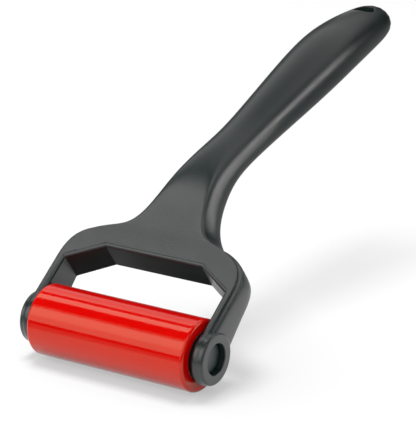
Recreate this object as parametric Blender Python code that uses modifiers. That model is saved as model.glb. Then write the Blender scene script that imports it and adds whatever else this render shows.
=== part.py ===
"""Rubber brayer: a red rubber roller on a steel axle, carried by a one-piece black fork and handle.

Metres, +Z up. X runs along the axle and +Y runs back to the end of the handle. The roller stands on
the ground plane with the handle raised, and the origin is below the middle of the whole object.
"""

import math
from collections import namedtuple

import bmesh
import bpy
from mathutils import Matrix, Vector

# Clearances
FIT_GAP = 0.0003
RUN_GAP = 0.0003

# Roller
ROLLER_DIAMETER = 0.0256
ROLLER_LENGTH = 0.0650
ROLLER_EDGE_RADIUS = 0.0012
CORE_WALL = 0.0020
CORE_INSET = 0.0004
BUSH_WALL = 0.0026
BUSH_LENGTH = 0.0080

# Axle, washers and the plugs that hold the axle in the fork
AXLE_DIAMETER = 0.0060
WASHER_DIAMETER = 0.0110
WASHER_THICKNESS = 0.0004
PLUG_BORE_DIAMETER = 0.0110
PLUG_RECESS = 0.0023
PLUG_FLANGE = 0.0009
PLUG_FACE = 0.0006
PLUG_HUB_WALL = 0.0010

# Fork: heights and depths are square to the plate, reaches run along it from the axle
FORK_TILT = math.radians(36.3)
SPINE_HEIGHT = 0.0033
PLATE_THICKNESS = 0.0110
ARM_THICKNESS = 0.0045
ARM_ROOT_DEPTH = 0.0102
ARM_MIDDLE_REACH = 0.0120
ARM_MIDDLE_DEPTH = 0.0081
ARM_TOP_STEP = 0.0080
ARM_TOP_DEPTH = 0.0068
BOSS_DIAMETER = 0.0188
BOSS_PROUD = 0.0002
BOSS_EDGE_RADIUS = 0.0008
REBATE_WIDTH = 0.0019
REBATE_DEPTH = 0.0011
WINDOW_GAP = 0.0162
WINDOW_TOP_WIDTH = 0.0406
WINDOW_CORNER_DROP = 0.0077

# Shoulders: how far each point of the outline stands in from the arms, and on from the window
SHOULDER_START_DROP = 0.0025
SHOULDER_START_DEPTH = 0.0062
SHOULDER_CORNER_INSET = 0.0024
SHOULDER_CORNER_RISE = 0.0042
SHOULDER_CORNER_DEPTH = 0.0062
SHOULDER_TOP_INSET = 0.0115
SHOULDER_TOP_RISE = 0.0085

# Neck: each section's step from the one before, its three widths, and its front and back
NECK_ROOT_STEP = 0.0020
NECK_ROOT_FACE_WIDTH = 0.0330
NECK_ROOT_WIDTH = 0.0412
NECK_ROOT_BACK_WIDTH = 0.0468
NECK_ROOT_FRONT_HEIGHT = 0.0059
NECK_ROOT_BACK_DEPTH = 0.0060
NECK_FLARE_STEP = 0.0057
NECK_FLARE_FACE_WIDTH = 0.0242
NECK_FLARE_WIDTH = 0.0316
NECK_FLARE_BACK_WIDTH = 0.0336
NECK_FLARE_FRONT_HEIGHT = 0.0073
NECK_FLARE_BACK_DEPTH = 0.0076
NECK_STEP = 0.0080
NECK_FACE_WIDTH = 0.0196
NECK_WIDTH = 0.0262
NECK_BACK_WIDTH = 0.0214
NECK_FRONT_HEIGHT = 0.0091
NECK_BACK_DEPTH = 0.0088
THROAT_STEP = 0.0100
THROAT_FACE_WIDTH = 0.0168
THROAT_WIDTH = 0.0212
THROAT_BACK_WIDTH = 0.0152
THROAT_FRONT_HEIGHT = 0.0099
THROAT_BACK_DEPTH = 0.0090

# How sharp the edges that run out along the neck stay, from 1 for sharp to 0 for smooth
NECK_ROOT_BACK_CREASE = 0.5
NECK_FLARE_BACK_CREASE = 0.3
NECK_FRONT_CREASE = 0.6
THROAT_FRONT_CREASE = 0.15

# Handle past the throat: its middle line bends down, runs straight and droops at the end.
# The shares and the places of the sections below are parts of its length.
HANDLE_LENGTH = 0.1378
BEND_SHARE = 0.116
STRAIGHT_SHARE = 0.493
GRIP_TILT = math.radians(18.0)
TIP_TILT = math.radians(8.0)

# Grip: each section's place, width, thickness and any shift off the middle line
BEND_PLACE = 0.087
BEND_WIDTH = 0.0176
BEND_THICKNESS = 0.0172
BEND_LIFT = 0.0006
WAIST_PLACE = 0.196
WAIST_WIDTH = 0.0164
WAIST_THICKNESS = 0.0160
GRIP_PLACE = 0.341
GRIP_WIDTH = 0.0186
GRIP_THICKNESS = 0.0178
SWELL_PLACE = 0.486
SWELL_WIDTH = 0.0211
SWELL_THICKNESS = 0.0202
PALM_PLACE = 0.631
PALM_WIDTH = 0.0231
PALM_THICKNESS = 0.0219
HEEL_PLACE = 0.740
HEEL_WIDTH = 0.0227
HEEL_THICKNESS = 0.0210
HEEL_DROP = 0.0003
TIP_PLACE = 0.893
TIP_WIDTH = 0.0199
TIP_THICKNESS = 0.0170
TIP_DROP = 0.0017
END_WIDTH = 0.0150
END_THICKNESS = 0.0124
END_DROP = 0.0026
HANG_HOLE_DIAMETER = 0.0088
HANG_HOLE_SETBACK = 0.0142

# Fineness of the round shapes
TURN_STEPS = 64
CORNER_STEPS = 4
FRAME_LEVELS = 2
MERGE_DISTANCE = 0.00001
SHARP_ANGLE = math.radians(35)

# Sizes that follow from the ones above
ROLLER_RADIUS = ROLLER_DIAMETER / 2
AXLE_RADIUS = AXLE_DIAMETER / 2
BOSS_RADIUS = BOSS_DIAMETER / 2
HALF_PLATE = PLATE_THICKNESS / 2
ROLLER_END = ROLLER_LENGTH / 2
ARM_INNER = ROLLER_END + WASHER_THICKNESS + 2 * FIT_GAP
ARM_OUTER = ARM_INNER + ARM_THICKNESS
BOSS_OUTER = ARM_OUTER + BOSS_PROUD
BUSH_BORE_RADIUS = AXLE_RADIUS + RUN_GAP
BUSH_RADIUS = BUSH_BORE_RADIUS + BUSH_WALL
CORE_BORE_RADIUS = BUSH_RADIUS + FIT_GAP
CORE_RADIUS = CORE_BORE_RADIUS + CORE_WALL
SLEEVE_BORE_RADIUS = CORE_RADIUS + FIT_GAP
BORE_RADIUS = PLUG_BORE_DIAMETER / 2
HUB_RADIUS = AXLE_RADIUS + FIT_GAP + PLUG_HUB_WALL
PLUG_OUTER = BOSS_OUTER - PLUG_RECESS
PLUG_SEAT = PLUG_OUTER - PLUG_FLANGE
AXLE_END = PLUG_OUTER - PLUG_FACE - FIT_GAP

ARM_TOP = ARM_MIDDLE_REACH + ARM_TOP_STEP
WINDOW_REACH = ROLLER_RADIUS + WINDOW_GAP
SHOULDER_START = WINDOW_REACH - SHOULDER_START_DROP
SHOULDER_CORNER = WINDOW_REACH + SHOULDER_CORNER_RISE
SHOULDER_TOP = WINDOW_REACH + SHOULDER_TOP_RISE
NECK_ROOT = SHOULDER_TOP + NECK_ROOT_STEP
NECK_FLARE = NECK_ROOT + NECK_FLARE_STEP
NECK = NECK_FLARE + NECK_STEP
THROAT = NECK + THROAT_STEP
BEND = THROAT + BEND_PLACE * HANDLE_LENGTH
WAIST = THROAT + WAIST_PLACE * HANDLE_LENGTH
GRIP = THROAT + GRIP_PLACE * HANDLE_LENGTH
SWELL = THROAT + SWELL_PLACE * HANDLE_LENGTH
PALM = THROAT + PALM_PLACE * HANDLE_LENGTH
HEEL = THROAT + HEEL_PLACE * HANDLE_LENGTH
TIP = THROAT + TIP_PLACE * HANDLE_LENGTH
END = THROAT + HANDLE_LENGTH
BEND_RUN = BEND_SHARE * HANDLE_LENGTH
STRAIGHT_RUN = STRAIGHT_SHARE * HANDLE_LENGTH
TIP_RUN = HANDLE_LENGTH - BEND_RUN - STRAIGHT_RUN

# A smoothed ring of eight points shrinks by this much, so its points stand out by as much
HULL = 6 / (4 + 2 * math.cos(math.pi / 4))
DIAGONAL = math.cos(math.pi / 4)

# Cutters reach past whatever they cut
OVERSHOOT = 2 * BOSS_RADIUS

# One section of the frame: its reach, then its front, widest and back points as (half width, height)
Section = namedtuple("Section", "reach front side back front_top back_top front_crease back_crease")


def clear_scene():
    """Remove every object that the scene starts with."""
    for obj in list(bpy.data.objects):
        bpy.data.objects.remove(obj, do_unlink=True)


def new_collection(name):
    """A collection linked to the scene."""
    collection = bpy.data.collections.new(name)
    bpy.context.scene.collection.children.link(collection)
    return collection


def new_finish(name, colour, roughness, metallic=0.0):
    """A material with one colour, roughness and metallic value."""
    finish = bpy.data.materials.new(name)
    finish.use_nodes = True
    shader = finish.node_tree.nodes["Principled BSDF"]
    shader.inputs["Base Color"].default_value = (*colour, 1.0)
    shader.inputs["Roughness"].default_value = roughness
    shader.inputs["Metallic"].default_value = metallic
    return finish


def add_part(name, mesh, finish, parent):
    """A visible piece of the brayer."""
    mesh.materials.append(finish)
    obj = bpy.data.objects.new(name, mesh)
    PARTS.objects.link(obj)
    obj.parent = parent
    return obj


def add_tool(name, mesh, parent):
    """A helper shape for a cut or a union, left out of the finished object."""
    obj = bpy.data.objects.new(name, mesh)
    TOOLS.objects.link(obj)
    obj.parent = parent
    obj.hide_render = True
    obj.display_type = "WIRE"
    return obj


def combine(obj, operation, tool):
    """Cut the tool's shape from the object, or join it on."""
    modifier = obj.modifiers.new(tool.name, "BOOLEAN")
    modifier.operation = operation
    modifier.solver = "EXACT"
    modifier.object = tool


def shape_mesh(name, shape):
    """A mesh of the finished edit shape."""
    mesh = bpy.data.meshes.new(name)
    shape.to_mesh(mesh)
    shape.free()
    return mesh


def profile_mesh(name, profile):
    """A closed loop of (radius, place) points, to be turned about the axle."""
    shape = bmesh.new()
    points = [shape.verts.new((radius, 0, place)) for radius, place in profile]
    for first, second in zip(points, points[1:] + points[:1]):
        shape.edges.new((first, second))
    return shape_mesh(name, shape)


def turn(obj):
    """Turn the object's profile into a round piece that lies along X."""
    obj.rotation_euler = (0, math.pi / 2, 0)
    screw = obj.modifiers.new("turn", "SCREW")
    screw.axis = "Z"
    screw.steps = TURN_STEPS
    screw.render_steps = TURN_STEPS
    screw.use_merge_vertices = True
    screw.merge_threshold = MERGE_DISTANCE
    screw.use_smooth_shade = True
    return obj


def corner(radius, place, round_radius, start):
    """A quarter circle of profile points about a centre, clockwise from an angle in degrees."""
    points = []
    for step in range(CORNER_STEPS + 1):
        angle = math.radians(start - 90 * step / CORNER_STEPS)
        points.append((radius + round_radius * math.cos(angle), place + round_radius * math.sin(angle)))
    return points


def ring_profile(outer, inner, low, high):
    """The profile of a plain ring or tube."""
    return [(outer, high), (outer, low), (inner, low), (inner, high)]


def rod_mesh(name, radius, length):
    """A solid round bar along Z, centred on the origin."""
    shape = bmesh.new()
    bmesh.ops.create_cone(
        shape, cap_ends=True, segments=TURN_STEPS, radius1=radius, radius2=radius, depth=length
    )
    mesh = shape_mesh(name, shape)
    mesh.shade_smooth()
    mesh.set_sharp_from_angle(angle=SHARP_ANGLE)
    return mesh


def box_mesh(name, low, high):
    """A box between two corners."""
    shape = bmesh.new()
    bmesh.ops.create_cube(shape, size=1.0)
    low, high = Vector(low), Vector(high)
    scale = Matrix.Diagonal((*(high - low), 1.0))
    bmesh.ops.transform(shape, matrix=Matrix.Translation((low + high) / 2) @ scale, verts=shape.verts)
    return shape_mesh(name, shape)


def outline_mesh(name, outline, thickness):
    """A flat outline given a thickness, half to each side."""
    curve = bpy.data.curves.new(name, "CURVE")
    curve.dimensions = "2D"
    curve.fill_mode = "BOTH"
    curve.extrude = thickness / 2
    spline = curve.splines.new("POLY")
    spline.points.add(len(outline) - 1)
    for point, place in zip(spline.points, outline):
        point.co = (*place, 0, 1)
    spline.use_cyclic_u = True
    guide = bpy.data.objects.new(name, curve)
    TOOLS.objects.link(guide)
    graph = bpy.context.evaluated_depsgraph_get()
    mesh = bpy.data.meshes.new_from_object(guide.evaluated_get(graph))
    bpy.data.objects.remove(guide, do_unlink=True)
    shape = bmesh.new()
    shape.from_mesh(mesh)
    bmesh.ops.remove_doubles(shape, verts=shape.verts, dist=MERGE_DISTANCE)
    bmesh.ops.recalc_face_normals(shape, faces=shape.faces)
    shape.to_mesh(mesh)
    shape.free()
    return mesh


def spine(reach):
    """Place and tilt of the frame's middle line at a reach from the axle."""
    tilt = FORK_TILT
    place = SPINE_HEIGHT * Vector((0, -math.sin(tilt), math.cos(tilt)))
    runs = (
        (THROAT, 0.0),
        (BEND_RUN, GRIP_TILT - FORK_TILT),
        (STRAIGHT_RUN, 0.0),
        (TIP_RUN, TIP_TILT - GRIP_TILT),
    )
    for length, bend in runs:
        step = min(reach, length)
        angle = bend * step / length
        heading = tilt + angle / 2
        chord = step * math.sin(angle / 2) / (angle / 2) if angle else step
        place = place + chord * Vector((0, math.cos(heading), math.sin(heading)))
        tilt += angle
        reach -= step
    return place, tilt


def slab(reach, half_width, back_depth):
    """A flat section of the fork with square edges."""
    front = (half_width, HALF_PLATE)
    side = (half_width, 0.0)
    back = (half_width, -back_depth)
    return Section(reach, front, side, back, HALF_PLATE, back_depth, 1.0, 1.0)


def blend(reach, widths, front_height, back_depth, front_crease, back_crease):
    """A section of the neck, with a flat front face, bulging sides and a rounded back."""
    face, widest, back_width = widths
    front = (face / 2, front_height)
    side = (widest / 2, 0.0)
    back = (back_width / 2, -back_depth)
    return Section(reach, front, side, back, front_height, back_depth, front_crease, back_crease)


def oval(reach, width, thickness, drop=0.0):
    """A round section of the grip, which may sit below the middle line."""
    half = HULL * width / 2
    high = HULL * thickness / 2
    front = (DIAGONAL * half, DIAGONAL * high - drop)
    side = (half, -drop)
    back = (DIAGONAL * half, -DIAGONAL * high - drop)
    return Section(reach, front, side, back, high - drop, high + drop, 0.0, 0.0)


def fork_sections():
    """The sections of the arms, the shoulders and the neck."""
    root = (NECK_ROOT_FACE_WIDTH, NECK_ROOT_WIDTH, NECK_ROOT_BACK_WIDTH)
    flare = (NECK_FLARE_FACE_WIDTH, NECK_FLARE_WIDTH, NECK_FLARE_BACK_WIDTH)
    neck = (NECK_FACE_WIDTH, NECK_WIDTH, NECK_BACK_WIDTH)
    throat = (THROAT_FACE_WIDTH, THROAT_WIDTH, THROAT_BACK_WIDTH)
    return [
        slab(0.0, ARM_OUTER, ARM_ROOT_DEPTH),
        slab(ARM_MIDDLE_REACH, ARM_OUTER, ARM_MIDDLE_DEPTH),
        slab(ARM_TOP, ARM_OUTER, ARM_TOP_DEPTH),
        slab(SHOULDER_START, ARM_OUTER, SHOULDER_START_DEPTH),
        slab(SHOULDER_CORNER, ARM_OUTER - SHOULDER_CORNER_INSET, SHOULDER_CORNER_DEPTH),
        slab(SHOULDER_TOP, ARM_OUTER - SHOULDER_TOP_INSET, HALF_PLATE),
        blend(NECK_ROOT, root, NECK_ROOT_FRONT_HEIGHT, NECK_ROOT_BACK_DEPTH, 1.0, NECK_ROOT_BACK_CREASE),
        blend(NECK_FLARE, flare, NECK_FLARE_FRONT_HEIGHT, NECK_FLARE_BACK_DEPTH, 1.0, NECK_FLARE_BACK_CREASE),
        blend(NECK, neck, NECK_FRONT_HEIGHT, NECK_BACK_DEPTH, NECK_FRONT_CREASE, 0.0),
        blend(THROAT, throat, THROAT_FRONT_HEIGHT, THROAT_BACK_DEPTH, THROAT_FRONT_CREASE, 0.0),
    ]


def grip_sections():
    """The round sections of the grip, from the bend to the end."""
    return [
        oval(BEND, BEND_WIDTH, BEND_THICKNESS, -BEND_LIFT),
        oval(WAIST, WAIST_WIDTH, WAIST_THICKNESS),
        oval(GRIP, GRIP_WIDTH, GRIP_THICKNESS),
        oval(SWELL, SWELL_WIDTH, SWELL_THICKNESS),
        oval(PALM, PALM_WIDTH, PALM_THICKNESS),
        oval(HEEL, HEEL_WIDTH, HEEL_THICKNESS, HEEL_DROP),
        oval(TIP, TIP_WIDTH, TIP_THICKNESS, TIP_DROP),
        oval(END, END_WIDTH, END_THICKNESS, END_DROP),
    ]


def frame_cage():
    """The coarse cage of the frame, one ring of eight points for each section."""
    shape = bmesh.new()
    crease = shape.edges.layers.float.new("crease_edge")
    sections = fork_sections() + grip_sections()
    rings = []
    for section in sections:
        place, tilt = spine(section.reach)
        up = Vector((0, -math.sin(tilt), math.cos(tilt)))
        half = [section.front, section.side, section.back]
        loop = [(0.0, section.front_top), *half, (0.0, -section.back_top)]
        loop += [(-across, height) for across, height in reversed(half)]
        points = [place + Vector((across, 0, 0)) + height * up for across, height in loop]
        rings.append([shape.verts.new(point) for point in points])
    size = len(rings[0])
    for ring, following in zip(rings, rings[1:]):
        for index in range(size):
            after = (index + 1) % size
            shape.faces.new((ring[index], ring[after], following[after], following[index]))
    shape.faces.new(rings[0])
    shape.faces.new(rings[-1])
    for index in range(size):
        shape.edges.get((rings[0][index], rings[0][index - 1]))[crease] = 1.0
    for place in range(len(rings) - 1):
        here, on = sections[place], sections[place + 1]
        front_crease = (here.front_crease + on.front_crease) / 2
        back_crease = (here.back_crease + on.back_crease) / 2
        for index, value in ((1, front_crease), (7, front_crease), (3, back_crease), (5, back_crease)):
            shape.edges.get((rings[place][index], rings[place + 1][index]))[crease] = value
    bmesh.ops.recalc_face_normals(shape, faces=shape.faces)
    return shape_mesh("handle_frame", shape)


def build_frame(axle_line, finish):
    """The one-piece fork and handle, with its bosses, window, rebates and holes."""
    frame = add_part("handle_frame", frame_cage(), finish, axle_line)
    frame.data.shade_smooth()
    subdivide = frame.modifiers.new("smooth", "SUBSURF")
    subdivide.levels = FRAME_LEVELS
    subdivide.render_levels = FRAME_LEVELS

    half_top = WINDOW_TOP_WIDTH / 2
    corner_reach = WINDOW_REACH - WINDOW_CORNER_DROP
    window = [
        (-ARM_INNER, -OVERSHOOT),
        (ARM_INNER, -OVERSHOOT),
        (ARM_INNER, corner_reach),
        (half_top, WINDOW_REACH),
        (-half_top, WINDOW_REACH),
        (-ARM_INNER, corner_reach),
    ]
    window_tool = add_tool("window_cut", outline_mesh("window_cut", window, 2 * OVERSHOOT), axle_line)
    window_tool.rotation_euler = (FORK_TILT, 0, 0)

    front = SPINE_HEIGHT + HALF_PLATE
    for sign, side in ((-1, "left"), (1, "right")):
        across = sorted((sign * (ARM_OUTER - REBATE_WIDTH), sign * (ARM_OUTER + OVERSHOOT)))
        low = (across[0], -OVERSHOOT, front - REBATE_DEPTH)
        high = (across[1], SHOULDER_TOP, front + OVERSHOOT)
        rebate = add_tool(f"{side}_rebate", box_mesh(f"{side}_rebate", low, high), axle_line)
        rebate.rotation_euler = (FORK_TILT, 0, 0)
        combine(frame, "DIFFERENCE", rebate)

    for sign, side in ((-1, "left"), (1, "right")):
        rounded = corner(BOSS_RADIUS - BOSS_EDGE_RADIUS, BOSS_OUTER - BOSS_EDGE_RADIUS, BOSS_EDGE_RADIUS, 90)
        root = ARM_INNER - ARM_THICKNESS
        profile = [*rounded, (BOSS_RADIUS, root), (0.0, root), (0.0, BOSS_OUTER)]
        boss = turn(add_tool(f"{side}_boss", profile_mesh(f"{side}_boss", profile), axle_line))
        boss.rotation_euler = (0, sign * math.pi / 2, 0)
        combine(frame, "UNION", boss)

    combine(frame, "DIFFERENCE", window_tool)

    for sign, side in ((-1, "left"), (1, "right")):
        hole_radius = HUB_RADIUS + FIT_GAP
        far, near = BOSS_OUTER + OVERSHOOT, ARM_INNER - ARM_THICKNESS
        seat = PLUG_SEAT - FIT_GAP
        profile = [(BORE_RADIUS, far), (BORE_RADIUS, seat), (hole_radius, seat), (hole_radius, near)]
        profile += [(0.0, near), (0.0, far)]
        bore = turn(add_tool(f"{side}_bore", profile_mesh(f"{side}_bore", profile), axle_line))
        bore.rotation_euler = (0, sign * math.pi / 2, 0)
        combine(frame, "DIFFERENCE", bore)

    hang = add_tool("hang_hole", rod_mesh("hang_hole", HANG_HOLE_DIAMETER / 2, 2 * OVERSHOOT), axle_line)
    hang.location = spine(END - HANG_HOLE_SETBACK)[0]
    combine(frame, "DIFFERENCE", hang)
    return frame


def build_roller(roller, finishes):
    """The pieces that spin together: rubber sleeve, core tube and the two bushes."""
    edge = ROLLER_EDGE_RADIUS
    profile = corner(ROLLER_RADIUS - edge, ROLLER_END - edge, edge, 90)
    profile += corner(ROLLER_RADIUS - edge, edge - ROLLER_END, edge, 0)
    profile += [(SLEEVE_BORE_RADIUS, -ROLLER_END), (SLEEVE_BORE_RADIUS, ROLLER_END)]
    turn(add_part("roller_sleeve", profile_mesh("roller_sleeve", profile), finishes["rubber"], roller))

    core_end = ROLLER_END - CORE_INSET
    profile = ring_profile(CORE_RADIUS, CORE_BORE_RADIUS, -core_end, core_end)
    turn(add_part("roller_core", profile_mesh("roller_core", profile), finishes["core"], roller))

    for sign, side in ((-1, "left"), (1, "right")):
        low, high = sorted((sign * (ROLLER_END - BUSH_LENGTH), sign * ROLLER_END))
        profile = ring_profile(BUSH_RADIUS, BUSH_BORE_RADIUS, low, high)
        turn(add_part(f"{side}_bush", profile_mesh(f"{side}_bush", profile), finishes["bush"], roller))


def build_axle(axle_line, finishes):
    """The pieces that stay with the fork: axle, washers and axle plugs."""
    axle = add_part("axle", rod_mesh("axle", AXLE_RADIUS, 2 * AXLE_END), finishes["steel"], axle_line)
    axle.rotation_euler = (0, math.pi / 2, 0)

    for sign, side in ((-1, "left"), (1, "right")):
        near = ROLLER_END + FIT_GAP
        low, high = sorted((sign * near, sign * (near + WASHER_THICKNESS)))
        profile = ring_profile(WASHER_DIAMETER / 2, AXLE_RADIUS + FIT_GAP, low, high)
        mesh = profile_mesh(f"{side}_washer", profile)
        turn(add_part(f"{side}_washer", mesh, finishes["washer"], axle_line))

        flange_radius = BORE_RADIUS - FIT_GAP
        bore_end = AXLE_END + FIT_GAP
        bore_radius = AXLE_RADIUS + FIT_GAP
        profile = [(0.0, PLUG_OUTER), (flange_radius, PLUG_OUTER), (flange_radius, PLUG_SEAT)]
        profile += [(HUB_RADIUS, PLUG_SEAT), (HUB_RADIUS, ARM_INNER), (bore_radius, ARM_INNER)]
        profile += [(bore_radius, bore_end), (0.0, bore_end)]
        mesh = profile_mesh(f"{side}_axle_plug", profile)
        plug = turn(add_part(f"{side}_axle_plug", mesh, finishes["plug"], axle_line))
        plug.rotation_euler = (0, sign * math.pi / 2, 0)


def centre_on_origin(axle_line):
    """Move the whole brayer so that the origin is below its middle, at the roller's lowest line."""
    bpy.context.view_layer.update()
    graph = bpy.context.evaluated_depsgraph_get()
    reaches = []
    for obj in PARTS.objects:
        if obj.type != "MESH":
            continue
        evaluated = obj.evaluated_get(graph)
        mesh = evaluated.to_mesh()
        reaches += [(evaluated.matrix_world @ vertex.co).y for vertex in mesh.vertices]
        evaluated.to_mesh_clear()
    axle_line.location.y = -(min(reaches) + max(reaches)) / 2
    bpy.context.view_layer.update()


clear_scene()
PARTS = new_collection("rubber_brayer")
TOOLS = new_collection("brayer_tools")

axle_line = bpy.data.objects.new("axle_line", None)
PARTS.objects.link(axle_line)
axle_line.location = (0, 0, ROLLER_RADIUS)
roller = bpy.data.objects.new("roller", None)
PARTS.objects.link(roller)
roller.parent = axle_line

black_plastic = new_finish("black_plastic", (0.075, 0.077, 0.076), 0.5)
finishes = {
    "rubber": new_finish("red_rubber", (0.62, 0.012, 0.008), 0.15),
    "core": new_finish("core_plastic", (0.35, 0.35, 0.34), 0.5),
    "bush": new_finish("bush_nylon", (0.75, 0.74, 0.70), 0.4),
    "steel": new_finish("axle_steel", (0.56, 0.57, 0.58), 0.3, 1.0),
    "washer": new_finish("washer_nylon", (0.05, 0.05, 0.05), 0.5),
    "plug": new_finish("plug_plastic", (0.060, 0.068, 0.064), 0.45),
}
build_frame(axle_line, black_plastic)
build_roller(roller, finishes)
build_axle(axle_line, finishes)
centre_on_origin(axle_line)
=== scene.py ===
"""Looks of a rubber brayer: fork and grip, spinning roller, axle set, and a plain white studio."""

import logging
from dataclasses import dataclass
from enum import Enum
from math import cos, hypot, pi, radians, sin, tan
from typing import Sequence

import bmesh
import bpy
from mathutils import Matrix, Vector


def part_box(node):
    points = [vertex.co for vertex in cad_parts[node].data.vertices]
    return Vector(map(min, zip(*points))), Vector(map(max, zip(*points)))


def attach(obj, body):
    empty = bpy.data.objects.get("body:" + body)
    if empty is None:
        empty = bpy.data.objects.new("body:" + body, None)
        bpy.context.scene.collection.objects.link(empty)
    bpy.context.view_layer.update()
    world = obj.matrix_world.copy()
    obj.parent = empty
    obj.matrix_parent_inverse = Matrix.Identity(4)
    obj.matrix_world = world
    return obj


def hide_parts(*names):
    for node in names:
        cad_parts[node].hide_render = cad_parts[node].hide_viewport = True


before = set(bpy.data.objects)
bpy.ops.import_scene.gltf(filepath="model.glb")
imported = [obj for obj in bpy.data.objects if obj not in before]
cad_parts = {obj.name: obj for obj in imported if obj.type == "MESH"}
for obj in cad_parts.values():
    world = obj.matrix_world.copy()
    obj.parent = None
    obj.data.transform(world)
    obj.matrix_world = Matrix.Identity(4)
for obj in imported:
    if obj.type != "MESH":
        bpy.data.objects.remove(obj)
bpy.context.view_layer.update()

logging.basicConfig(level=logging.INFO, format="%(message)s")
log = logging.getLogger("brayer")

Point = tuple[float, float]
Colour = tuple[float, float, float]
Corner = tuple[float, float, float]
Spot = tuple[float, float, float]
Piece = bpy.types.Object
Socket = bpy.types.NodeSocket
Feed = float | Sequence[float] | Socket

AXLE_LINE: Vector = sum(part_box("axle"), Vector()) / 2

MERGE_REACH = 1e-6  # vertices nearer than this become one
SMOOTH_ANGLE = radians(32)  # edges sharper than this stay sharp
OVERLAP = 0.00002  # how far a tool passes a surface, so that the two share no plane
TOOL_REACH = 0.030  # how far the window's cutter goes to the front and to the back

# Where a ring of the cage has its creased edges, right and left.
FRONT_EDGES, FOOT_EDGES, BACK_EDGES = (2, 14), (3, 13), (6, 10)

# How the skins change over a surface.
PATCH_DETAIL, PATCH_LOW, PATCH_HIGH = 3, 0.3, 0.7
GRAIN_DETAIL, GRAIN_SHARE = 2, 0.35


class Body(Enum):
    """The two bodies of the brayer that pieces ride on."""

    FORK = "fork"
    ROLLER = "roller"


class Side(Enum):
    """The two ends of the roller."""

    LEFT = -1
    RIGHT = 1

    @property
    def label(self) -> str:
        """The side's name in lower case, as the nodes spell it."""
        return self.name.lower()


class Cut(Enum):
    """What a shaping tool does to a piece."""

    TAKE = "DIFFERENCE"
    JOIN = "UNION"


class Skin(Enum):
    """The kinds of surface, each of which is a shared node group."""

    MOULDED = "moulded_skin"
    TURNED = "turned_skin"


# Modelling bench


def clear_selection() -> None:
    """Leave nothing selected, so that an operator meets only the next piece."""
    bpy.ops.object.select_all(action="DESELECT")


def take_up(piece: Piece) -> None:
    """Make a piece the only selected and the active one.

    Args:
        piece: The piece to work on.
    """
    clear_selection()
    piece.select_set(True)
    bpy.context.view_layer.objects.active = piece


def ring_start(name: str, points: Sequence[Vector], fill: str) -> Piece:
    """Start a piece from a circle whose points are moved to an outline, and stay in edit mode.

    Args:
        name: The piece's name.
        points: The outline's points in order.
        fill: NGON for a face, NOTHING for the outline alone.

    Returns:
        The new piece, in edit mode with all of it selected.
    """
    clear_selection()
    bpy.ops.mesh.primitive_circle_add(vertices=len(points), fill_type=fill, location=(0, 0, 0))
    piece = bpy.context.object
    piece.name = name
    piece.data.name = name
    bpy.ops.object.mode_set(mode="EDIT")
    shape = bmesh.from_edit_mesh(piece.data)
    shape.verts.ensure_lookup_table()
    for vertex, point in zip(shape.verts, points):
        vertex.co = point
    bmesh.update_edit_mesh(piece.data)
    bpy.ops.mesh.select_all(action="SELECT")
    return piece


def close_up() -> None:
    """Merge doubles, turn the faces outwards and leave edit mode."""
    bpy.ops.mesh.select_all(action="SELECT")
    bpy.ops.mesh.remove_doubles(threshold=MERGE_REACH)
    bpy.ops.mesh.normals_make_consistent(inside=False)
    bpy.ops.object.mode_set(mode="OBJECT")


def loft(name: str, rings: Sequence[Sequence[Vector]]) -> tuple[Piece, list[list[int]]]:
    """Extrude a filled outline from ring to ring.

    Args:
        name: The piece's name.
        rings: The outlines in order, all with the same number of points.

    Returns:
        The piece, and the index of each ring's vertices in order.
    """
    piece = ring_start(name, rings[0], "NGON")
    orders = [list(range(len(rings[0])))]
    for ring in rings[1:]:
        bpy.ops.mesh.extrude_region_move(TRANSFORM_OT_translate={"value": (0, 0, 0)})
        shape = bmesh.from_edit_mesh(piece.data)
        shape.verts.ensure_lookup_table()
        shape.verts.index_update()
        order = []
        for index in orders[-1]:
            vertex = shape.verts[index]
            ends = [edge.other_vert(vertex) for edge in vertex.link_edges]
            order.append(next(end.index for end in ends if end.select))
        for index, point in zip(order, ring):
            shape.verts[index].co = point
        bmesh.update_edit_mesh(piece.data)
        orders.append(order)
    close_up()
    return piece, orders


def turned(
    name: str, corners: Sequence[Corner], arc_steps: int, steps: int,
    solid: bool = True, way: int = 1,
) -> Piece:
    """Round an outline's corners and spin it round the axle line.

    Args:
        name: The piece's name.
        corners: Each corner's place along the axle line and out from it, and its rounding.
        arc_steps: How many steps a rounding has.
        steps: How many steps the full turn has.
        solid: Whether the outline's two ends are on the axle line, so that it isn't closed.
        way: -1 to mirror the outline to the left.

    Returns:
        The turned piece.
    """
    outline = rounded(corners, arc_steps, not solid)
    points = [AXLE_LINE + Vector((way * along, 0, out)) for along, out in outline]
    piece = ring_start(name, points, "NOTHING")
    if solid:
        bpy.ops.mesh.select_all(action="DESELECT")
        shape = bmesh.from_edit_mesh(piece.data)
        shape.verts.ensure_lookup_table()
        shape.edges.get((shape.verts[0], shape.verts[-1])).select_set(True)
        bmesh.update_edit_mesh(piece.data)
        bpy.ops.mesh.delete(type="EDGE")
        bpy.ops.mesh.select_all(action="SELECT")
    bpy.ops.mesh.spin(steps=steps, angle=2 * pi, center=AXLE_LINE, axis=(1, 0, 0))
    close_up()
    return piece


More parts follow.
